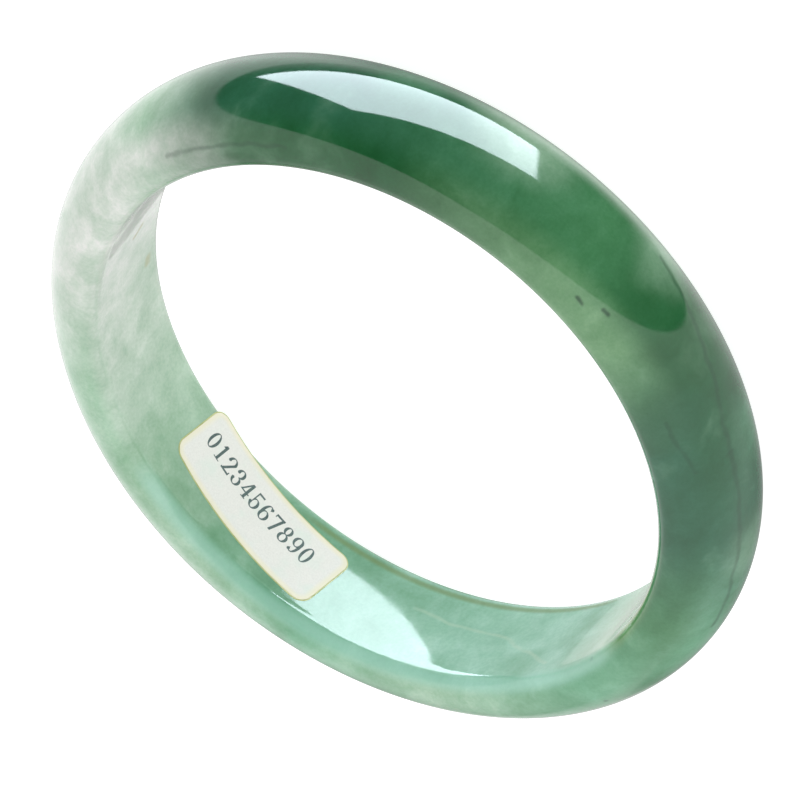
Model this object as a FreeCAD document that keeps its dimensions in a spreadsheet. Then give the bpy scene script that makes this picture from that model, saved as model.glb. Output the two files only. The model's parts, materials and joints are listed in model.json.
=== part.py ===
"""Solid stone bangle with a small stock label stuck inside its bore.

Frame: millimetres, the bangle lying flat. +Z is the bore's axis, +X passes through the middle
of the label, and the origin is the bore's centre on the plane that the bangle rests on.

Pieces, from the stone inwards: bangle_ring, label_adhesive, label_paper, label_digits.
"""
import FreeCAD, Part
import Sketcher
import math
import os

SIZES = {
    # the stone ring: an oval section, flattened where it faces the wrist
    "bore_diameter": 56.0,        # across the wrist opening
    "ring_width": 12.4,           # along the bore's axis
    "ring_thickness": 6.6,        # from the bore's wall to the outside
    "edge_radius": 1.6,           # rounding of the bore's two edges, up to the ring's crowns
    # the label: a tilted rounded rectangle, measured as if it lay flat
    "label_length": 18.1,
    "label_height": 7.2,
    "label_corner": 1.2,
    "label_tilt": 9.3,            # degrees, rising towards +Z as it goes round towards +Y
    "label_drop": 1.0,            # label's middle below the middle of the ring's width
    "adhesive_margin": 0.12,      # adhesive squeezed out all round the paper
    "adhesive_thickness": 0.02,
    "paper_thickness": 0.05,
    # the printed stock number
    "ink_thickness": 0.01,
    "digit_height": 2.0,
    "digit_gap": 0.28,            # between two digits: their width fills what is left
    "thick_stroke": 0.27,
    "thin_stroke": 0.1,
    "first_margin": 1.2,          # label's end to the first digit
    "last_margin": 2.55,          # last digit to the label's other end
    "head_margin": 1.8,           # label's -Z long edge to the digits' tops
}
DIGITS = "01234567890"            # a plain counting row stands in for a stock number

DOC = FreeCAD.newDocument("bangle")
ORIGIN = (-1, 1)                  # the sketch's own origin, as a constraint names it
START, END, CENTRE = 1, 2, 3      # a curve's points, as a constraint names them


def make_sheet():
    """One spreadsheet row for each driving size."""
    sheet = DOC.addObject("Spreadsheet::Sheet", "sizes")
    for row, (alias, value) in enumerate(SIZES.items(), start=1):
        sheet.set("A%d" % row, alias)
        sheet.set("B%d" % row, str(value))
        sheet.setAlias("B%d" % row, alias)
    DOC.recompute()
    return sheet


SHEET = make_sheet()


def size(alias):
    """A driving size's value, read from the sheet."""
    return float(getattr(SHEET, alias))


def vector(x, y, z=0.0):
    return FreeCAD.Vector(x, y, z)


def arc(centre, radius, start_deg, end_deg):
    """Anticlockwise arc for a sketch."""
    circle = Part.Circle(centre, vector(0, 0, 1), radius)
    return Part.ArcOfCircle(circle, math.radians(start_deg), math.radians(end_deg))


# ---------------------------------------------------------------- sketches and bodies

def new_sketch(body, name, plane_role):
    """Empty sketch on one of the body's own origin planes."""
    sketch = body.newObject("Sketcher::SketchObject", name)
    plane = [item for item in body.Origin.OriginFeatures if item.Role == plane_role][0]
    sketch.AttachmentSupport = (plane, "")
    sketch.MapMode = "FlatFace"
    return sketch


def hold(sketch, kind, *parts):
    """Add a geometric constraint."""
    return sketch.addConstraint(Sketcher.Constraint(kind, *parts))


def dimension(sketch, name, formula, kind, *parts):
    """Add a named dimension and bind it to a formula of the sheet's sizes."""
    index = hold(sketch, kind, *parts)
    sketch.renameConstraint(index, name)
    sketch.setExpression("Constraints." + name, formula)


def turn(body, sketch, angle_formula=None):
    """Turn a section about +Z: all the way round, or by an angle shared about +X."""
    feature = body.newObject("PartDesign::Revolution", body.Name + "_turned")
    feature.Profile = sketch
    feature.ReferenceAxis = (sketch, ["V_Axis"])
    if angle_formula:
        feature.Midplane = True
        feature.setExpression("Angle", angle_formula)


# ---------------------------------------------------------------- the stone ring

def make_ring():
    """Half oval outside, a straight wall inside and a quarter round at each of its edges."""
    body = DOC.addObject("PartDesign::Body", "bangle_ring")
    sketch = new_sketch(body, "ring_section", "XZ_Plane")
    wall = size("bore_diameter") / 2
    middle = size("ring_width") / 2
    radius = size("edge_radius")
    reach = size("ring_thickness") - radius
    centre = vector(wall + radius, middle)
    upper_centre = vector(centre.x, 2 * middle - radius)
    lower_centre = vector(centre.x, radius)

    # the oval's parameter is 0 at the top, and half a turn later it is at the bottom
    whole_oval = Part.Ellipse(centre + vector(0, middle), centre - vector(reach, 0), centre)
    sketch.addGeometry(Part.LineSegment(vector(wall, lower_centre.y), vector(wall, upper_centre.y)))
    sketch.addGeometry(arc(upper_centre, radius, 90, 180))
    sketch.addGeometry(arc(lower_centre, radius, 180, 270))
    sketch.addGeometry(Part.ArcOfEllipse(whole_oval, math.pi, 2 * math.pi))
    line, upper, lower, outside, long_axis, short_axis = range(6)
    sketch.exposeInternalGeometry(outside)

    dimension(sketch, "wall_radius", "sizes.bore_diameter / 2",
              "DistanceX", *ORIGIN, line, START, wall)
    dimension(sketch, "mid_height", "sizes.ring_width / 2",
              "DistanceY", *ORIGIN, outside, CENTRE, middle)
    dimension(sketch, "width", "sizes.ring_width", "Distance", long_axis, 2 * middle)
    dimension(sketch, "depth", "2 * (sizes.ring_thickness - sizes.edge_radius)",
              "Distance", short_axis, 2 * reach)
    dimension(sketch, "rounding", "sizes.edge_radius", "Radius", upper, radius)
    hold(sketch, "Equal", upper, lower)
    hold(sketch, "Vertical", line)
    hold(sketch, "Vertical", long_axis)
    hold(sketch, "Vertical", outside, CENTRE, upper, CENTRE)
    hold(sketch, "Vertical", upper, CENTRE, upper, START)
    hold(sketch, "Vertical", lower, CENTRE, lower, END)
    hold(sketch, "Tangent", line, END, upper, END)
    hold(sketch, "Tangent", line, START, lower, START)
    hold(sketch, "Coincident", upper, START, outside, END)
    hold(sketch, "Coincident", lower, END, outside, START)
    turn(body, sketch)
    return body


# ---------------------------------------------------------------- layers stuck to the wall

def make_band(name, gap, thickness):
    """Film that follows the bore's wall and both edge roundings, wider than the label.

    gap is how far the film's back stands off the stone. Both arguments are formulas.
    """
    body = DOC.addObject("PartDesign::Body", name)
    sketch = new_sketch(body, name + "_section", "XZ_Plane")
    radius = size("edge_radius")
    bottom = vector(size("bore_diameter") / 2 + radius, radius)
    top = vector(bottom.x, size("ring_width") - radius)
    back, face = radius + size("adhesive_thickness"), radius + size("paper_thickness")

    # closed round the section: up the back, over the upper crown, down the face, and back
    to_back, to_face = vector(-back, 0), vector(-face, 0)
    up_back, up_face = vector(0, back), vector(0, face)
    sketch.addGeometry(Part.LineSegment(bottom + to_back, top + to_back))
    sketch.addGeometry(arc(top, back, 90, 180))
    sketch.addGeometry(Part.LineSegment(top + up_back, top + up_face))
    sketch.addGeometry(arc(top, face, 90, 180))
    sketch.addGeometry(Part.LineSegment(top + to_face, bottom + to_face))
    sketch.addGeometry(arc(bottom, face, 180, 270))
    sketch.addGeometry(Part.LineSegment(bottom - up_face, bottom - up_back))
    sketch.addGeometry(arc(bottom, back, 180, 270))
    back_line, back_top, top_end, face_top, face_line, face_low, low_end, back_low = range(8)

    back_formula = "sizes.edge_radius + " + gap
    face_formula = back_formula + " + " + thickness
    for curve, formula, value in ((back_top, back_formula, back), (back_low, back_formula, back),
                                  (face_top, face_formula, face), (face_low, face_formula, face)):
        dimension(sketch, "radius_%d" % curve, formula, "Radius", curve, value)
    dimension(sketch, "centre_radius", "sizes.bore_diameter / 2 + sizes.edge_radius",
              "DistanceX", *ORIGIN, back_top, CENTRE, top.x)
    dimension(sketch, "top_height", "sizes.ring_width - sizes.edge_radius",
              "DistanceY", *ORIGIN, back_top, CENTRE, top.y)
    dimension(sketch, "low_height", "sizes.edge_radius",
              "DistanceY", *ORIGIN, back_low, CENTRE, bottom.y)
    hold(sketch, "Vertical", back_line)
    hold(sketch, "Coincident", back_top, CENTRE, face_top, CENTRE)
    hold(sketch, "Coincident", back_low, CENTRE, face_low, CENTRE)
    hold(sketch, "Tangent", back_line, END, back_top, END)
    hold(sketch, "Tangent", back_line, START, back_low, START)
    hold(sketch, "Tangent", face_line, START, face_top, END)
    hold(sketch, "Tangent", face_line, END, face_low, START)
    hold(sketch, "Coincident", back_top, START, top_end, START)
    hold(sketch, "Coincident", top_end, END, face_top, START)
    hold(sketch, "Coincident", face_low, END, low_end, START)
    hold(sketch, "Coincident", low_end, END, back_low, END)
    for curve, point in ((back_top, START), (face_top, START), (back_low, END), (face_low, END)):
        hold(sketch, "Vertical", curve, CENTRE, curve, point)
    around = "(sizes.label_length + sizes.label_height) / (sizes.bore_diameter / 2) * 180 / pi"
    turn(body, sketch, around)
    return body


def make_outline(name, margin):
    """Prism of the label's rounded rectangle, grown by a margin, through the wall at +X."""
    body = DOC.addObject("PartDesign::Body", name)
    sketch = new_sketch(body, name + "_sketch", "YZ_Plane")
    corner = size("label_corner")
    right = size("label_length") / 2
    top = size("label_height") / 2
    spots = ((right, -top, 270), (right, top, 0), (-right, top, 90), (-right, -top, 180))

    # four corners anticlockwise from the lower right, each followed by the side after it
    ends = []
    for across, up, start in spots:
        inset = vector(math.copysign(corner, across), math.copysign(corner, up))
        bend = arc(vector(across, up) - inset, corner, start, start + 90)
        ends.append((bend, bend.StartPoint, bend.EndPoint))
    for index, (bend, _, leave) in enumerate(ends):
        arrive = ends[(index + 1) % 4][1]
        sketch.addGeometry(bend)
        sketch.addGeometry(Part.LineSegment(leave, arrive))
    for index in range(4):
        bend, side, next_bend = 2 * index, 2 * index + 1, (2 * index + 2) % 8
        hold(sketch, "Tangent", bend, END, side, START)
        hold(sketch, "Tangent", side, END, next_bend, START)
        hold(sketch, "Vertical" if index % 2 == 0 else "Horizontal", side)
        if index:
            hold(sketch, "Equal", 0, bend)
    right_side, top_side, left_side, bottom_side = 1, 3, 5, 7
    hold(sketch, "Symmetric", right_side, START, left_side, START, *ORIGIN)
    dimension(sketch, "corner", "sizes.label_corner + " + margin, "Radius", 0, corner)
    # seen straight on, the label is as long as the chord that its curved length spans
    chord = "sizes.bore_diameter * sin(sizes.label_length / sizes.bore_diameter * 180 / pi)"
    dimension(sketch, "length", "%s + 2 * (%s)" % (chord, margin),
              "DistanceX", left_side, START, right_side, START, 2 * right)
    dimension(sketch, "height", "sizes.label_height + 2 * (%s)" % margin,
              "DistanceY", bottom_side, START, top_side, START, 2 * top)
    sketch.AttachmentOffset = FreeCAD.Placement(vector(0, 1), FreeCAD.Rotation(vector(0, 0, 1), 1))
    sketch.setExpression("AttachmentOffset.Base.y", "sizes.ring_width / 2 - sizes.label_drop")
    sketch.setExpression("AttachmentOffset.Rotation.Angle", "sizes.label_tilt")
    pad = body.newObject("PartDesign::Pad", name + "_pad")
    pad.Profile = sketch
    pad.setExpression("Length", "sizes.bore_diameter")
    return body


def stick(name, band, cutter):
    """The part of a band that lies inside a cutter: one layer of the label."""
    layer = DOC.addObject("Part::Common", name)
    layer.Base = band
    layer.Tool = cutter
    return layer


# ---------------------------------------------------------------- the printed digits

def digit_width():
    """The digits share the label's length between its two margins."""
    line = size("label_length") - size("first_margin") - size("last_margin")
    return (line + size("digit_gap")) / len(DIGITS) - size("digit_gap")


def filled_oval(across, up, width, height):
    centre = vector(across, up)
    if height >= width:
        long_end, short_end = vector(0, height / 2), vector(-width / 2, 0)
    else:
        long_end, short_end = vector(width / 2, 0), vector(0, height / 2)
    curve = Part.Ellipse(centre + long_end, centre + short_end, centre)
    return Part.Face(Part.Wire(curve.toShape()))


def oval(across, up, width, height):
    """Closed pen stroke round an oval, thick at its sides and thin at its top and foot."""
    thick, thin = size("thick_stroke"), size("thin_stroke")
    hole = filled_oval(across, up, width - 2 * thick, height - 2 * thin)
    return filled_oval(across, up, width, height).cut(hole)


def slant(foot, head, bottom, top, width):
    """Straight stroke whose left edge runs from foot, at the bottom, to head, at the top."""
    corners = [vector(foot, bottom), vector(foot + width, bottom),
               vector(head + width, top), vector(head, top)]
    return Part.Face(Part.makePolygon(corners + corners[:1]))


def block(left, right, bottom, top):
    return slant(left, left, bottom, top, right - left)


def ball(across, up):
    """Round end of a curved stroke."""
    disc = Part.Circle(vector(across, up), vector(0, 0, 1), 0.6 * size("thick_stroke"))
    return Part.Face(Part.Wire(disc.toShape()))


def kept(stroke, *blocks):
    """The part of a stroke that lies inside any of the blocks."""
    return stroke.common(blocks[0].fuse(list(blocks[1:])) if blocks[1:] else blocks[0])


def strokes(digit):
    """Flat faces of one serif digit, centred on the origin, its top towards +Y."""
    wide, tall = digit_width(), size("digit_height")
    side, top = wide / 2, tall / 2
    thick, thin = size("thick_stroke"), size("thin_stroke")
    if digit == "0":
        return [oval(0, 0, wide, tall)]
    if digit == "1":
        flag = slant(-0.65 * side, -thick / 2, 0.6 * top, top, thick)
        serif = block(-0.7 * side, 0.7 * side, -top, thin - top)
        return [block(-thick / 2, thick / 2, -top, top), flag, serif]
    if digit == "2":
        centre = 0.42 * top
        bowl = kept(oval(0, centre, wide, 2 * (top - centre)), block(-side, side, centre, top))
        foot = block(-side, side, -top, 2 * thin - top)
        tick = block(side - thin, side, -top, -0.6 * top)
        stem = slant(-side, side - thick, -top, centre, thick)
        return [bowl, stem, foot, tick, ball(thick / 2 - side, centre)]
    if digit == "3":
        high, low = 0.48 * top, -0.46 * top
        narrow = 0.9 * side
        upper = kept(oval(0, high, 2 * narrow, 2 * (top - high)),
                     block(-side, side, high, top), block(0, side, -top, high))
        lower = kept(oval(0, low, wide, 2 * (top + low)),
                     block(-side, side, -top, low), block(0, side, low, top))
        return [upper, lower, ball(thick / 2 - narrow, high), ball(thick / 2 - side, low)]
    if digit == "4":
        stem = 0.15 * side
        bar = -0.42 * top
        diagonal = slant(-side, stem, bar, top, 1.6 * thin)
        serif = block(stem - thick / 2, stem + 1.5 * thick, -top, thin - top)
        crossing = block(-side, side, bar, bar + 1.4 * thin)
        return [block(stem, stem + thick, -top, top), diagonal, crossing, serif]
    if digit == "5":
        centre, neck = -0.38 * top, -0.66 * side
        flag = block(neck, 0.8 * side, top - 2 * thin, top)
        spine = block(neck, neck + 1.3 * thin, 0, top)
        cut = centre - thin
        bowl = kept(oval(0, centre, wide, 2 * (top + centre)), block(0, side, -top, top),
                    block(neck, 0, centre, top), block(-side, 0, -top, cut))
        return [bowl, spine, flag, ball(thick / 2 - side, cut)]
    if digit in "69":
        centre = -0.4 * top
        sweep = kept(oval(0, 0, wide, tall), block(-side, 0, centre, top),
                     block(0, 0.5 * side, 0.5 * top, top))
        faces = [oval(0, centre, wide, 2 * (top + centre)), sweep, ball(0.5 * side, 0.78 * top)]
        if digit == "9":
            for face in faces:
                face.rotate(vector(0, 0), vector(0, 0, 1), 180)
        return faces
    if digit == "7":
        bar = block(-side, side, top - 2.2 * thin, top)
        tick = block(-side, thin - side, 0.6 * top, top)
        return [bar, tick, slant(-0.4 * side, side - thick, -top, top, thick)]
    upper = oval(0, 0.49 * top, 0.86 * wide, 1.02 * top)
    return [upper, oval(0, -0.46 * top, wide, 1.08 * top)]


def make_digit_prisms():
    """One solid for each digit, through the wall at its own place along the printed line."""
    wall = size("bore_diameter") / 2
    depth = 0.1 * wall
    tilt = math.radians(size("label_tilt"))
    along = vector(0, math.cos(tilt), math.sin(tilt))      # along the line, as it is read
    up = vector(0, math.sin(tilt), -math.cos(tilt))        # towards the digits' tops
    facing = FreeCAD.Rotation(along, up, vector(-1, 0, 0), "ZXY")
    pitch = digit_width() + size("digit_gap")
    first = size("first_margin") + (digit_width() - size("label_length")) / 2
    line_height = (size("label_height") - size("digit_height")) / 2 - size("head_margin")
    prisms = []
    for index, digit in enumerate(DIGITS):
        spot = along * (first + index * pitch) + up * line_height
        solids = [face.extrude(vector(0, 0, 2 * depth)) for face in strokes(digit)]
        prism = solids[0].fuse(solids[1:]).removeSplitter() if solids[1:] else solids[0]
        height = size("ring_width") / 2 - size("label_drop") + spot.z
        prism.Placement = FreeCAD.Placement(vector(wall + depth, 0, height), facing)
        prism.rotate(vector(0, 0), vector(0, 0, 1), math.degrees(spot.y / wall))
        prisms.append(prism)
    feature = DOC.addObject("Part::Feature", "digit_prisms")
    feature.Shape = Part.makeCompound(prisms)
    return feature


# ---------------------------------------------------------------- assembly and export

def make_nodes():
    """Every piece of the bangle, each with the label that names its file."""
    ring = make_ring()
    glue, paper = "sizes.adhesive_thickness", "sizes.paper_thickness"
    adhesive = stick("label_adhesive", make_band("adhesive_band", "0", glue),
                     make_outline("adhesive_outline", "sizes.adhesive_margin"))
    sheet = stick("label_paper", make_band("paper_band", glue, paper),
                  make_outline("paper_outline", "0"))
    ink_band = make_band("ink_band", glue + " + " + paper, "sizes.ink_thickness")
    digits = stick("label_digits", ink_band, make_digit_prisms())
    return [ring, adhesive, sheet, digits]


def check(nodes):
    """Stop on a failed object, a bad shape, or a piece with the wrong number of solids."""
    for item in DOC.Objects:
        if "Invalid" in item.State or "Error" in item.State:
            raise RuntimeError("%s is %s" % (item.Name, item.State))
        if item.TypeId == "Sketcher::SketchObject" and not item.FullyConstrained:
            raise RuntimeError("%s isn't fully constrained" % item.Name)
    solids = {"label_digits": len(DIGITS)}
    for node in nodes:
        shape = node.Shape
        if shape.isNull() or not shape.isValid():
            raise RuntimeError("%s has no valid shape" % node.Label)
        if len(shape.Solids) != solids.get(node.Label, 1):
            raise RuntimeError("%s has %d solids" % (node.Label, len(shape.Solids)))


def main():
    nodes = make_nodes()
    DOC.recompute()
    check(nodes)
    os.makedirs("parts", exist_ok=True)
    for node in nodes:
        node.Shape.exportStep("parts/%s.step" % node.Label)
        box = node.Shape.BoundBox
        print("%-15s %9.3f mm3  X %.2f..%.2f  Y %.2f..%.2f  Z %.2f..%.2f"
              % (node.Label, node.Shape.Volume, box.XMin, box.XMax, box.YMin, box.YMax,
                 box.ZMin, box.ZMax))


main()
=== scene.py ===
"""Looks of the jade bangle: dense polished stone, label stock, floor, studio light, camera.

Metres, in the CAD frame: the bore's axis is +Z and the label's middle is on +X. Places on the
stone are given as (angle, path): degrees round from the label's middle, and millimetres along
the section, up the bore's wall from its lower edge, over the upper crown and down the outside.
"""
import bmesh
import bpy
import json
import math
from mathutils import Matrix, Quaternion, Vector, noise
from mathutils.geometry import delaunay_2d_cdt


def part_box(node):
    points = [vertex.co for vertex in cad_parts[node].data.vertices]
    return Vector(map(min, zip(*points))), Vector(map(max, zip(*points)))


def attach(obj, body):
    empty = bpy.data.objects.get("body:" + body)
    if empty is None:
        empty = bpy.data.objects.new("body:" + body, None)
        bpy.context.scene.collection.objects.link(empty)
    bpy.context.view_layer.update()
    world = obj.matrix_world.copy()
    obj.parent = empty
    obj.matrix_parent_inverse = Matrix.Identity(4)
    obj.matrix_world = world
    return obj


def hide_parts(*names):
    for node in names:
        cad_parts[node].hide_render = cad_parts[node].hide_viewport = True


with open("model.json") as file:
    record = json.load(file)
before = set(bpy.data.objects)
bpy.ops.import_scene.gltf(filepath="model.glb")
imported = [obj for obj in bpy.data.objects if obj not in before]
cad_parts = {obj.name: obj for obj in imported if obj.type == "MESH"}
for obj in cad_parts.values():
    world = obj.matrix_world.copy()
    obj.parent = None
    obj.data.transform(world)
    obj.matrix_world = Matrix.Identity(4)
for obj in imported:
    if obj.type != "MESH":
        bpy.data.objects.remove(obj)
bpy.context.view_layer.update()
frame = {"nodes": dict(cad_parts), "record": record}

MM = 0.001
RING_LOW, RING_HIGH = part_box("bangle_ring")
BORE = next(m for m in frame["record"]["mounts"] if m["name"] == "wrist_bore")
WIDTH = RING_HIGH.z - RING_LOW.z
MIDDLE = (RING_HIGH.z + RING_LOW.z) / 2
WALL_RADIUS = BORE["dims"]["r_mm"] * MM
WALL_LENGTH = BORE["dims"]["length_mm"] * MM
EDGE_RADIUS = (WIDTH - WALL_LENGTH) / 2
REACH = RING_HIGH.x - WALL_RADIUS - EDGE_RADIUS     # outer oval's half depth
CENTRE = Vector((0, 0, MIDDLE))

PAPER_LOW, PAPER_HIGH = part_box("label_paper")
LABEL_HEIGHT_AT = (PAPER_LOW.z + PAPER_HIGH.z) / 2      # the label's middle
LABEL_LENGTH, LABEL_HEIGHT, LABEL_CORNER = 18.1, 7.2, 1.2
LABEL_TILT = 9.3                                        # degrees, rising with the angle
ADHESIVE_MARGIN, ADHESIVE, PAPER = 0.12, 0.02, 0.05     # millimetres, as the CAD layers have them

SWELL, SWELL_GRAIN = 0.02 * MM, 70      # height of the polishing's flats, and how close they lie
FILM_STEP = 0.45                        # millimetres between a film's vertices
RIM_FADE = 8                            # degrees over which a rim line fades at its ends


# ---------------------------------------------------------------- section and places on it

def section(steps_wall=24, steps_edge=20, steps_oval=96):
    """(radius, height) round the whole section, from the wall's lower end."""
    half_wall = WALL_LENGTH / 2
    deep = WALL_RADIUS + EDGE_RADIUS
    points = []
    for step in range(steps_wall):
        points.append((WALL_RADIUS, MIDDLE - half_wall + WALL_LENGTH * step / steps_wall))
    for step in range(steps_edge):
        turn = math.pi - math.pi / 2 * step / steps_edge
        points.append((deep + EDGE_RADIUS * math.cos(turn),
                       MIDDLE + half_wall + EDGE_RADIUS * math.sin(turn)))
    for step in range(steps_oval):
        turn = math.pi / 2 - math.pi * step / steps_oval
        points.append((deep + REACH * math.cos(turn), MIDDLE + WIDTH / 2 * math.sin(turn)))
    for step in range(steps_edge):
        turn = -math.pi / 2 - math.pi / 2 * step / steps_edge
        points.append((deep + EDGE_RADIUS * math.cos(turn),
                       MIDDLE - half_wall + EDGE_RADIUS * math.sin(turn)))
    return points


def on_stone(angle, path):
    """Point of the stone's surface at (degrees, millimetres)."""
    points = section()
    points.append(points[0])
    left = path * MM
    for (r0, z0), (r1, z1) in zip(points, points[1:]):
        length = math.hypot(r1 - r0, z1 - z0)
        if left <= length:
            radius, height = r0 + (r1 - r0) * left / length, z0 + (z1 - z0) * left / length
            break
        left -= length
    turn = math.radians(angle)
    return Vector((radius * math.cos(turn), radius * math.sin(turn), height))


# ---------------------------------------------------------------- node trees

def colour(red, green, blue):
    """Display values 0 to 255 as the linear colour that a shader takes."""
    def linear(value):
        value /= 255
        return value / 12.92 if value <= 0.04045 else ((value + 0.055) / 1.055) ** 2.4
    return (linear(red), linear(green), linear(blue), 1.0)


class Tree:
    """Short calls that add nodes to one shader tree."""

    def __init__(self, tree):
        self.tree = tree
        tree.nodes.clear()

    def put(self, value, socket):
        """Link an output to a socket, or write a plain value to it."""
        if isinstance(value, bpy.types.NodeSocket):
            self.tree.links.new(value, socket)
        elif value is not None:
            socket.default_value = value

    def node(self, kind, inputs=None, **settings):
        made = self.tree.nodes.new("ShaderNode" + kind)
        for name, value in settings.items():
            setattr(made, name, value)
        for name, value in (inputs or {}).items():
            self.put(value, made.inputs[name])
        return made

    def math(self, operation, first, second=None, clamp=False):
        made = self.node("Math", operation=operation, use_clamp=clamp)
        self.put(first, made.inputs[0])
        self.put(second, made.inputs[1])
        return made.outputs[0]

    def vector(self, operation, first, second=None, scale=None):
        made = self.node("VectorMath", operation=operation)
        self.put(first, made.inputs[0])
        self.put(second, made.inputs[1])
        self.put(scale, made.inputs[3])
        return made.outputs["Value" if operation in ("DOT_PRODUCT", "LENGTH", "DISTANCE") else 0]

    def ease(self, value, low, high, to_low=0.0, to_high=1.0):
        """Smooth step of a value between two limits."""
        made = self.node("MapRange", interpolation_type="SMOOTHSTEP")
        for name, entry in (("Value", value), ("From Min", low), ("From Max", high),
                            ("To Min", to_low), ("To Max", to_high)):
            self.put(entry, made.inputs[name])
        return made.outputs[0]

    def mix(self, factor, first, second, blend="MIX"):
        made = self.node("Mix", data_type="RGBA", blend_type=blend)
        self.put(factor, made.inputs["Factor"])
        self.put(first, made.inputs[6])
        self.put(second, made.inputs[7])
        return made.outputs[2]

    def shade(self, below, value, low, high):
        """Darken what is below by a ramp between two (place, colour) stops."""
        stops = [(place, colour(*tint)) for place, tint in (low, high)]
        return self.mix(1.0, below, self.ramp(value, stops), "MULTIPLY")

    def noise(self, where, scale, detail=4.0, roughness=0.55, distortion=0.0):
        inputs = {"Vector": where, "Scale": scale, "Detail": detail, "Roughness": roughness,
                  "Distortion": distortion}
        return self.node("TexNoise", inputs)

    def ramp(self, value, stops, interpolation="LINEAR"):
        """Colour ramp of (place, colour) stops."""
        made = self.node("ValToRGB", {"Fac": value})
        made.color_ramp.interpolation = interpolation
        elements = made.color_ramp.elements
        for place, _ in stops[2:]:
            elements.new(place)
        for element, (place, tint) in zip(elements, stops):
            element.position = place
            element.color = tint
        return made.outputs["Color"]


def new_material(name):
    material = bpy.data.materials.new(name)
    material.use_nodes = True
    return material, Tree(material.node_tree)


def finish_material(tree, shader):
    tree.put(shader.outputs[0], tree.node("OutputMaterial").inputs["Surface"])


# ---------------------------------------------------------------- jade

# the stone's colours, as display values
FOREST, BOTTLE, FERN = (35, 95, 55), (50, 105, 80), (85, 140, 100)
SAGE, LEAF, JADE = (120, 160, 120), (110, 155, 90), (125, 180, 150)
MINT, CELADON, VEIL = (170, 215, 200), (185, 210, 190), (235, 230, 230)
CRACK, OLIVE, FLAW = (25, 60, 40), (105, 130, 60), (165, 165, 125)

# main colours round the ring, by angle: on the bore's wall, on the crowns and down the outside
WALL = [(-180, FERN), (-150, FOREST), (-120, FOREST), (-95, VEIL), (-65, VEIL),
        (-20, CELADON), (10, JADE), (50, MINT), (75, MINT), (95, LEAF), (130, FERN), (180, FERN)]
CROWN = [(-180, SAGE), (-150, FOREST), (-120, FOREST), (-100, VEIL), (-65, VEIL),
         (-40, CELADON), (0, CELADON), (20, JADE), (45, CELADON), (80, JADE), (105, FERN), (125, BOTTLE),
         (145, BOTTLE), (165, SAGE), (180, SAGE)]
SIDE = [(-180, FERN), (-140, BOTTLE), (-115, BOTTLE), (-100, CELADON), (-85, VEIL), (-60, VEIL),
        (-30, CELADON), (10, CELADON), (50, JADE), (80, FERN), (100, JADE), (125, BOTTLE), (160, FOREST),
        (180, FERN)]

# clouds in the stone: angle, path, reach in millimetres, tint, strength
CLOUDS = [
    (-165, 23, 4, CELADON, 0.6),
    (-145, 23, 3, JADE, 0.4),
    (120, 21, 3, CELADON, 0.3),
    (140, 23, 3, JADE, 0.3),
    (170, 23, 3, CELADON, 0.5),
    (150, 15, 3, BOTTLE, 0.5),
    (125, 15, 3, BOTTLE, 0.4),
]

# healed cracks and specks: (angle, path) ends and bends, width in millimetres, tint, strength
VEINS = [
    ([(85, 10), (80, 15)], 0.2, CRACK, 0.6),
    ([(105, 18), (145, 19), (170, 23)], 0.25, CRACK, 0.4),
    ([(150, 14), (140, 15), (140, 19)], 0.2, CRACK, 0.35),
    ([(-105, 13), (-130, 13)], 0.2, CRACK, 0.4),
    ([(35, 3), (55, 4), (70, 8)], 0.2, CELADON, 0.3),
    ([(175, 14), (174, 14)], 0.2, CRACK, 0.8),
    ([(171, 15), (170, 15)], 0.2, CRACK, 0.8),
    ([(-68, 3), (-67, 4)], 0.3, FLAW, 0.7),
    ([(-56, 1), (-55, 1)], 0.4, FLAW, 0.6),
]

# lines that follow the wall's edges: path, width in millimetres, from angle, to angle, tint, strength; the
# olive ones are lines in the stone, the pale mint band on the upper edge's rounding is a painted
# reflection
RIM_LINES_AND_PAINTED_SHEEN = [
    # painted reflection: a pale mint band along the rounding of the wall's upper edge
    (10.3, 0.75, -25, 95, MINT, 0.5),
    (0.0, 0.3, 5, 80, OLIVE, 0.6),
    (10.0, 0.3, 95, 140, OLIVE, 0.5),
]


def turns(angle):
    """Degrees as a ramp's place: -180 is 0 and 180 is 1."""
    return (angle + 180) / 360


def around(tree, where):
    """Angle round the bore's axis as a ramp's place."""
    axes = tree.node("SeparateXYZ", {"Vector": where})
    angle = tree.math("ARCTAN2", axes.outputs["Y"], axes.outputs["X"])
    return tree.math("ADD", tree.math("MULTIPLY", angle, 0.5 / math.pi), 0.5)


def zones(tree, where):
    """Two blends: wall to crown, and crown to the outside."""
    flat = tree.vector("LENGTH", tree.vector("MULTIPLY", where, (1, 1, 0)))
    inner = WALL_RADIUS / MM
    past_wall = tree.ease(flat, inner + 0.1, inner + 1.2)
    height = tree.node("SeparateXYZ", {"Vector": where}).outputs["Z"]
    rise = tree.math("ABSOLUTE", tree.math("SUBTRACT", height, MIDDLE / MM))
    out = tree.math("SUBTRACT", flat, inner + EDGE_RADIUS / MM)
    slope = tree.math("ARCTAN2", rise, out)
    return past_wall, tree.ease(slope, math.radians(72), math.radians(38))


def cloud(tree, where, below, angle, path, reach, tint, strength):
    """Blend one soft-edged cloud of another colour over the colour below."""
    centre = on_stone(angle, path) / MM
    away = tree.vector("DISTANCE", where, tuple(centre))
    weight = tree.ease(away, reach * 0.2, reach * 1.6, strength, 0.0)
    return tree.mix(weight, below, colour(*tint))


def drawn(line, step=8.0):
    """Places along a line, so close that the chords between them stay near the surface."""
    close = [line[0]]
    for (angle, path), (next_angle, next_path) in zip(line, line[1:]):
        pieces = max(1, math.ceil(abs(next_angle - angle) / step))
        for piece in range(1, pieces + 1):
            close.append((angle + (next_angle - angle) * piece / pieces,
                          path + (next_path - path) * piece / pieces))
    return close


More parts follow.
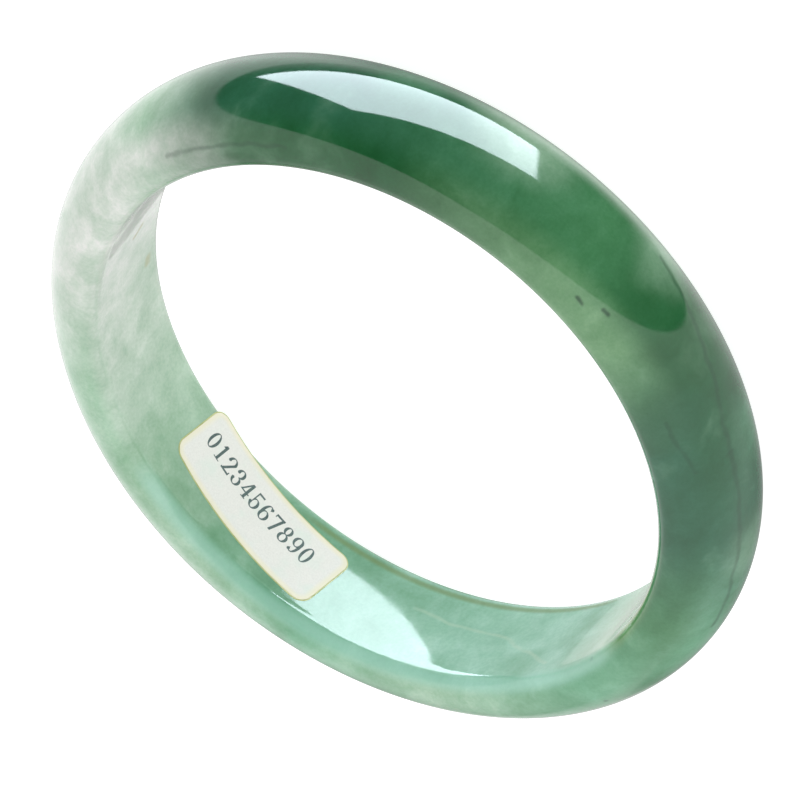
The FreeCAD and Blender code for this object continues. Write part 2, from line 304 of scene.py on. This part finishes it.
def vein(tree, where, below, line, width, tint, strength):
    """Blend a thin soft line of another colour over the colour below."""
    points = [on_stone(*place) / MM for place in drawn(line)]
    nearest = None
    for start, end in zip(points, points[1:]):
        along = end - start
        offset = tree.vector("SUBTRACT", where, tuple(start))
        share = tree.math("DIVIDE", tree.vector("DOT_PRODUCT", offset, tuple(along)),
                          along.length_squared, clamp=True)
        foot = tree.vector("SCALE", tuple(along), scale=share)
        away = tree.vector("DISTANCE", offset, foot)
        nearest = away if nearest is None else tree.math("MINIMUM", nearest, away)
    weight = tree.ease(nearest, width * 0.2, width * 1.8, strength, 0.0)
    return tree.mix(weight, below, colour(*tint))


def rim_line_and_painted_sheen(tree, where, below, path, width, start, end, tint, strength):
    """Blend a line that runs round the ring at one place of the section, fading at its ends; the pale band
    on the upper edge's rounding drawn with it is painted reflection.
    """
    place = on_stone(0, path) / MM
    flat = tree.vector("LENGTH", tree.vector("MULTIPLY", where, (1, 1, 0)))
    height = tree.node("SeparateXYZ", {"Vector": where}).outputs["Z"]
    here = tree.node("CombineXYZ", {"X": flat, "Z": height}).outputs[0]
    away = tree.vector("DISTANCE", here, tuple(place))
    angle = around(tree, where)
    fade = turns(RIM_FADE) - turns(0)
    span = tree.math("MULTIPLY", tree.ease(angle, turns(start), turns(start) + fade),
                     tree.ease(angle, turns(end) - fade, turns(end), 1.0, 0.0))
    weight = tree.math("MULTIPLY", span, tree.ease(away, width * 0.2, width * 1.8, strength, 0.0))
    return tree.mix(weight, below, colour(*tint))


def jade():
    material, tree = new_material("polished_jade")
    place = tree.node("TexCoord").outputs["Object"]
    place = tree.vector("SCALE", place, scale=1 / MM)

    # bend the colour ramps, clouds, mottling and fibres with a slow swirl, as the stone's folded growth
    # does
    swirl = tree.noise(place, 0.11, 3.0, 0.6).outputs["Color"]
    swirl = tree.vector("SUBTRACT", swirl, (0.5, 0.5, 0.5))
    bent = tree.vector("ADD", place, tree.vector("SCALE", swirl, scale=5.0))

    angle = around(tree, bent)
    wall, crown, side = (tree.ramp(angle, [(turns(a), colour(*c)) for a, c in stops])
                         for stops in (WALL, CROWN, SIDE))
    past_wall, past_crown = zones(tree, place)
    body = tree.mix(past_wall, wall, tree.mix(past_crown, crown, side))
    for entry in CLOUDS:
        body = cloud(tree, bent, body, *entry)

    # soft mottling, drawn-out fibres and a fine crystal grain, all relative to the body
    mottle = tree.noise(bent, 0.20, 3.0, 0.5, 0.3).outputs["Fac"]
    body = tree.shade(body, mottle, (0.30, (200, 220, 205)), (0.70, (255, 255, 255)))
    body = tree.mix(tree.ease(mottle, 0.55, 0.80, 0.0, 0.1), body, colour(*CELADON))
    along = tree.vector("MULTIPLY", bent, (1, 1, 0.5))
    fibres = tree.noise(along, 0.8, 4.0, 0.5, 0.3).outputs["Fac"]
    body = tree.shade(body, fibres, (0.30, (238, 246, 240)), (0.70, (255, 255, 255)))
    grain = tree.noise(place, 3.2, 3.0, 0.6).outputs["Fac"]
    body = tree.shade(body, grain, (0.30, (236, 243, 238)), (0.70, (255, 255, 255)))

    # veins, healed cracks and specks follow their own, only slightly wandering, lines
    wander = tree.vector("SUBTRACT", tree.noise(place, 0.45, 1.0).outputs["Color"], (0.5, 0.5, 0.5))
    near = tree.vector("ADD", place, tree.vector("SCALE", wander, scale=0.8))
    for entry in VEINS:
        body = vein(tree, near, body, *entry)
    # lines along the wall's edges, with the painted reflection band on the upper edge's rounding
    for entry in RIM_LINES_AND_PAINTED_SHEEN:
        body = rim_line_and_painted_sheen(tree, place, body, *entry)

    polish = tree.noise(place, 0.9, 3.0, 0.5).outputs["Fac"]
    bump = tree.node("Bump", {"Strength": 0.35, "Distance": 0.000012,
                              "Height": tree.noise(place, 0.5, 4.0, 0.45).outputs["Fac"]})
    shader = tree.node("BsdfPrincipled", {
        "Base Color": body, "IOR": 1.66,
        "Roughness": tree.ease(polish, 0.3, 0.7, 0.035, 0.08),
        "Subsurface Weight": 0.4, "Subsurface Radius": (0.8, 1.0, 0.8),
        "Subsurface Scale": 0.0012, "Normal": bump.outputs["Normal"]})
    finish_material(tree, shader)
    return material


# ---------------------------------------------------------------- label materials

def label_edge(tree, where):
    """Millimetres from the label's edge, negative inside it."""
    tilt = math.radians(LABEL_TILT)
    offset = tree.vector("SUBTRACT", where, (0, 0, LABEL_HEIGHT_AT / MM))
    along = tree.vector("DOT_PRODUCT", offset, (0, math.cos(tilt), math.sin(tilt)))
    across = tree.vector("DOT_PRODUCT", offset, (0, -math.sin(tilt), math.cos(tilt)))
    past = []
    for value, reach in ((along, LABEL_LENGTH / 2), (across, LABEL_HEIGHT / 2)):
        beyond = tree.math("SUBTRACT", tree.math("ABSOLUTE", value), reach - LABEL_CORNER)
        past.append(tree.math("MAXIMUM", beyond, 0.0))
    corner = tree.node("CombineXYZ", {"X": past[0], "Y": past[1]}).outputs[0]
    return tree.math("SUBTRACT", tree.vector("LENGTH", corner), LABEL_CORNER)


def paper():
    material, tree = new_material("label_paper")
    place = tree.vector("SCALE", tree.node("TexCoord").outputs["Object"], scale=1 / MM)
    fibres = tree.noise(place, 6.0, 4.0, 0.6, 0.5).outputs["Fac"]
    tone = tree.ramp(fibres, [(0.3, colour(225, 225, 220)), (0.7, colour(235, 235, 230))])
    shade = tree.noise(place, 0.45, 2.0, 0.5).outputs["Fac"]
    tone = tree.mix(tree.ease(shade, 0.45, 0.75, 0.0, 0.45), tone, colour(215, 230, 220))
    edge = label_edge(tree, place)
    tone = tree.mix(tree.ease(edge, -0.75, -0.1, 0.0, 0.85), tone, colour(235, 230, 205))
    bump = tree.node("Bump", {"Strength": 0.4, "Distance": 0.000006, "Height": fibres})
    shader = tree.node("BsdfPrincipled", {
        "Base Color": tone, "Roughness": 0.5, "Specular IOR Level": 0.35,
        "Normal": bump.outputs["Normal"]})
    finish_material(tree, shader)
    return material


def adhesive():
    material, tree = new_material("label_adhesive")
    place = tree.vector("SCALE", tree.node("TexCoord").outputs["Object"], scale=1 / MM)
    dirt = tree.noise(place, 1.6, 4.0, 0.7).outputs["Fac"]
    tone = tree.ramp(dirt, [(0.35, colour(205, 210, 150)), (0.65, colour(170, 180, 110))])
    shader = tree.node("BsdfPrincipled", {
        "Base Color": tone, "Roughness": tree.ease(dirt, 0.3, 0.7, 0.2, 0.45)})
    finish_material(tree, shader)
    return material


def ink():
    material, tree = new_material("printing_ink")
    place = tree.vector("SCALE", tree.node("TexCoord").outputs["Object"], scale=1 / MM)
    cover = tree.noise(place, 7.0, 3.0, 0.7).outputs["Fac"]
    tone = tree.ramp(cover, [(0.35, colour(60, 80, 80)), (0.7, colour(105, 125, 120))])
    shader = tree.node("BsdfPrincipled", {"Base Color": tone, "Roughness": 0.6})
    finish_material(tree, shader)
    return material


# ---------------------------------------------------------------- meshes

def add_piece(name, mesh, material, slot, *replaced):
    """Smooth-shaded mesh that rides on the bangle and stands for CAD nodes."""
    mesh.update()
    mesh.shade_smooth()
    mesh.materials.append(material)
    piece = bpy.data.objects.new(name, mesh)
    bpy.context.scene.collection.objects.link(piece)
    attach(piece, "root")
    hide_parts(*replaced)
    return piece


def polished_ring(material, around_steps=720):
    """The stone's surface, with the slight flats and swells that hand polishing leaves."""
    outline = section()
    count = len(outline)
    vertices, faces = [], []
    for step in range(around_steps):
        turn = 2 * math.pi * step / around_steps
        for radius, height in outline:
            point = Vector((radius * math.cos(turn), radius * math.sin(turn), height))
            outer = min(max((radius - WALL_RADIUS - EDGE_RADIUS) / REACH, 0), 1)
            swell = noise.noise(point * SWELL_GRAIN) * SWELL * outer
            scale = 1 + swell / radius
            vertices.append((point.x * scale, point.y * scale, point.z))
    for step in range(around_steps):
        ahead = (step + 1) % around_steps
        for index in range(count):
            after = (index + 1) % count
            faces.append((step * count + index, ahead * count + index,
                          ahead * count + after, step * count + after))
    mesh = bpy.data.meshes.new("polished_ring")
    mesh.from_pydata(vertices, [], faces)
    return add_piece("polished_ring", mesh, material, "stone", "bangle_ring")


def label_outline(grow):
    """(across, height) round the tilted label grown by some millimetres, closely spaced."""
    tilt = math.radians(LABEL_TILT)
    corner = LABEL_CORNER + grow
    flat = []
    for sign_y, sign_z, start in ((1, 1, 0), (-1, 1, 90), (-1, -1, 180), (1, -1, 270)):
        for step in range(13):
            turn = math.radians(start + 90 * step / 12)
            flat.append(Vector((sign_y * (LABEL_LENGTH / 2 - LABEL_CORNER)
                                + corner * math.cos(turn),
                                sign_z * (LABEL_HEIGHT / 2 - LABEL_CORNER)
                                + corner * math.sin(turn))))
    close = []
    for first, second in zip(flat, flat[1:] + flat[:1]):
        pieces = max(1, math.ceil((second - first).length / FILM_STEP))
        close += [first.lerp(second, piece / pieces) for piece in range(pieces)]
    return [Vector((p.x * math.cos(tilt) - p.y * math.sin(tilt),
                    p.x * math.sin(tilt) + p.y * math.cos(tilt))) for p in close]


def filled(outline):
    """Fine triangles that fill a closed outline."""
    low_x, high_x = min(p.x for p in outline), max(p.x for p in outline)
    low_y, high_y = min(p.y for p in outline), max(p.y for p in outline)
    inside = []
    step = FILM_STEP
    for i in range(1, int((high_x - low_x) / step) + 1):
        for j in range(1, int((high_y - low_y) / step) + 1):
            inside.append(Vector((low_x + i * step, low_y + (j + 0.5 * (i % 2)) * step)))
    made = delaunay_2d_cdt(outline + inside, [], [list(range(len(outline)))], 1, 1e-5)
    return made[0], made[2]


def film(name, grow, back, front, soft, material, slot, node):
    """Thin film on the wall with rounded edges; depths are millimetres in from the wall."""
    low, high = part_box(node)
    middle = (low.z + high.z) / 2 / MM

    def wrapped(point, deep):
        radius = WALL_RADIUS / MM - deep
        return Vector((math.sqrt(radius ** 2 - point.x ** 2), point.x, middle + point.y)) * MM

    built = bmesh.new()
    levels = [(grow, back)]
    for step in range(6):
        turn = math.pi / 2 * step / 5
        levels.append((grow - soft * (1 - math.cos(turn)),
                       front - (front - back) * 0.7 * (1 - math.sin(turn))))
    levels.append((levels[-1][0] - 0.06, front))
    rims = [[built.verts.new(wrapped(p, deep)) for p in label_outline(size)]
            for size, deep in levels]
    for lower, upper in zip(rims, rims[1:]):
        for index in range(len(lower)):
            after = (index + 1) % len(lower)
            built.faces.new((lower[index], upper[index], upper[after], lower[after]))
    for (size, deep), flip in ((levels[-1], True), (levels[0], False)):
        points, triangles = filled(label_outline(size))
        corners = [built.verts.new(wrapped(p, deep)) for p in points]
        for triangle in triangles:
            order = reversed(triangle) if flip else triangle
            built.faces.new([corners[index] for index in order])
    bmesh.ops.remove_doubles(built, verts=built.verts, dist=2e-7)
    bmesh.ops.recalc_face_normals(built, faces=built.faces)
    mesh = bpy.data.meshes.new(name)
    built.to_mesh(mesh)
    built.free()
    return add_piece(name, mesh, material, slot, node)


# ---------------------------------------------------------------- stage, light and camera

CAMERA_DISTANCE = 1.0111       # from the ring's centre
CAMERA_AZIMUTH = -173.0        # degrees round from +X
CAMERA_ELEVATION = 39.39
CAMERA_ROLL = -140.85          # the bangle is seen turned over, its label side down
CAMERA_LENS = 519.7            # millimetres on a 36 mm sensor
AIM = CENTRE + Vector((0.53, 0.38, 0.70)) * MM


FLOOR_REACH = 3.0
FLOOR_GREY, FLOOR_GLOW = 0.42, 0.85
SOFTBOX_LIGHT = (7.2, 8.2, 9.0, 1)
PANEL_LIGHT, CARD_LIGHT, ROOM_LIGHT = 0.85, 0.88, 0.03
LAMP_AT = Vector((-0.25, 0.35, 0.9))
LAMP_SIZE, LAMP_POWER = (0.8, 0.6), 2.0


def make_camera():
    data = bpy.data.cameras.new("camera")
    data.lens = CAMERA_LENS
    data.clip_start, data.clip_end = 0.05, 20
    camera = bpy.data.objects.new("camera", data)
    azimuth, elevation = math.radians(CAMERA_AZIMUTH), math.radians(CAMERA_ELEVATION)
    towards = Vector((math.cos(azimuth) * math.cos(elevation),
                      math.sin(azimuth) * math.cos(elevation), math.sin(elevation)))
    camera.location = CENTRE + towards * CAMERA_DISTANCE
    look = (AIM - camera.location).to_track_quat("-Z", "Y")
    camera.rotation_mode = "QUATERNION"
    camera.rotation_quaternion = look @ Quaternion((0, 0, 1), math.radians(CAMERA_ROLL))
    bpy.context.scene.collection.objects.link(camera)
    bpy.context.scene.camera = camera
    return camera


def make_floor():
    """Plain pale floor that glows a little, so that it stays even and nearly white."""
    mesh = bpy.data.meshes.new("floor")
    side = FLOOR_REACH
    mesh.from_pydata([(-side, -side, 0), (side, -side, 0), (side, side, 0), (-side, side, 0)],
                     [], [(0, 1, 2, 3)])
    floor = bpy.data.objects.new("floor", mesh)
    bpy.context.scene.collection.objects.link(floor)
    material, tree = new_material("pale_floor")
    shader = tree.node("BsdfPrincipled", {
        "Base Color": (FLOOR_GREY, FLOOR_GREY, FLOOR_GREY, 1), "Roughness": 0.9, "Specular IOR Level": 0.0,
        "Emission Color": (1, 1, 1, 1), "Emission Strength": FLOOR_GLOW})
    finish_material(tree, shader)
    mesh.materials.append(material)
    floor.visible_glossy = False
    return floor


# a rectangular softbox overhead, in steps to the right and towards the camera for one step up
SOFTBOX_MIDDLE = (0.0, 0.05)
SOFTBOX_HALF = (0.6, 0.5)


def make_world(camera):
    """Even white light for the body colours; a studio of lit panels for the polish alone."""
    world = bpy.data.worlds.new("studio")
    bpy.context.scene.world = world
    world.use_nodes = True
    tree = Tree(world.node_tree)
    way = tree.node("TexCoord").outputs["Generated"]
    axes = camera.rotation_quaternion.to_matrix()

    def facing(right, up, towards):
        """How far a direction leans to a fixed one, given as the studio's own axes."""
        fixed = axes @ Vector((right, up, towards))
        return tree.vector("DOT_PRODUCT", way, tuple(fixed))

    # softbox: inside the four planes through its neighbouring corners
    corners = [Vector((SOFTBOX_MIDDLE[0] + SOFTBOX_HALF[0] * right, 1,
                       SOFTBOX_MIDDLE[1] + SOFTBOX_HALF[1] * towards))
               for right, towards in ((-1, 1), (-1, -1), (1, -1), (1, 1))]
    box = 1.0
    for first, second in zip(corners, corners[1:] + corners[:1]):
        edge = first.cross(second).normalized()
        edge = edge if edge.y > 0 else -edge
        box = tree.math("MULTIPLY", box, tree.ease(facing(*edge), -0.008, 0.008))
    table = tree.ease(facing(-0.2, 0.9, 0.4), -0.012, 0.012, 1.0, 0.0)
    side = tree.ease(facing(-0.35, -0.65, -0.7), -0.02, 0.02)
    pale = tree.math("MULTIPLY", tree.math("MAXIMUM", table, side), PANEL_LIGHT)

    # wall behind the ring: bright at its left and upper right, dimmer below and between
    right, up = facing(1, 0, 0), facing(0, 1, 0)
    left_part = tree.ease(facing(-0.95, 0.3, 0), 0.0, 0.3, 0.0, 0.9)
    corner_part = tree.math("MULTIPLY", tree.ease(up, -0.1, 0.45, 0.0, 1.0),
                            tree.ease(right, 0.05, 0.4))
    sideways = tree.math("ABSOLUTE", tree.math("SUBTRACT", right, 0.03))
    low_part = tree.math("MULTIPLY", tree.ease(up, -0.05, -0.25, 0.0, 0.4),
                         tree.ease(sideways, 0.05, 0.13, 1.0, 0.0))
    behind = 0.34
    for part in (left_part, corner_part, low_part):
        behind = tree.math("ADD", behind, part)
    level = tree.mix(tree.ease(facing(0, 0, -1), 0.35, 0.85), pale, behind)
    level = tree.math("ADD", level, ROOM_LIGHT)
    panels = tree.mix(box, tree.vector("MULTIPLY", (1, 1, 1), level), SOFTBOX_LIGHT)
    polish_only = tree.node("LightPath").outputs["Is Glossy Ray"]
    seen = tree.mix(polish_only, (1, 1, 1, 1), panels)
    background = tree.node("Background", {"Color": seen, "Strength": 1.0})
    tree.put(background.outputs[0], tree.node("OutputWorld").inputs["Surface"])


# white cards below the ring: middle, size and turn, in millimetres and degrees
CARDS = {
    "right_card": ((18, 4), (40, 24), -45),
    "left_card": ((-7, -3), (12, 10), 0),
}
CARD_DROP = 20 * MM


def make_cards():
    """White cards below the ring that trim the softbox's reflection in the bore's wall."""
    material, tree = new_material("white_card")
    finish_material(tree, tree.node("Emission", {"Color": (1, 1, 1, 1), "Strength": CARD_LIGHT}))
    for name, (middle, size, turn) in CARDS.items():
        rotation = Matrix.Rotation(math.radians(turn), 2)
        corners = [Vector(middle) + rotation @ Vector((size[0] / 2 * x, size[1] / 2 * y))
                   for x, y in ((-1, -1), (1, -1), (1, 1), (-1, 1))]
        mesh = bpy.data.meshes.new(name)
        mesh.from_pydata([(p.x * MM, p.y * MM, MIDDLE - CARD_DROP) for p in corners], [],
                         [(0, 1, 2, 3)])
        mesh.materials.append(material)
        card = bpy.data.objects.new(name, mesh)
        bpy.context.scene.collection.objects.link(card)
        for kind in ("camera", "diffuse", "transmission", "volume_scatter", "shadow"):
            setattr(card, "visible_" + kind, False)


def make_light():
    """Large soft lamp over the bangle, for a faint shadow on the floor."""
    data = bpy.data.lights.new("overhead", "AREA")
    data.shape, data.energy = "RECTANGLE", LAMP_POWER
    data.size, data.size_y = LAMP_SIZE
    lamp = bpy.data.objects.new("overhead", data)
    lamp.location = LAMP_AT
    lamp.rotation_mode = "QUATERNION"
    lamp.rotation_quaternion = (CENTRE - lamp.location).to_track_quat("-Z", "Y")
    lamp.visible_glossy = False
    bpy.context.scene.collection.objects.link(lamp)


# ---------------------------------------------------------------- the scene

view = bpy.context.scene.view_settings
view.view_transform = "Standard"

polished_ring(jade())
film("glue_film", ADHESIVE_MARGIN, 0.0, ADHESIVE, 0.03, adhesive(), "adhesive", "label_adhesive")
film("label_stock", 0.0, ADHESIVE, ADHESIVE + PAPER, 0.05, paper(), "paper", "label_paper")
digits = frame["nodes"]["label_digits"].data
digits.materials.clear()
digits.materials.append(ink())
camera = make_camera()
make_floor()
make_world(camera)
make_cards()
make_light()
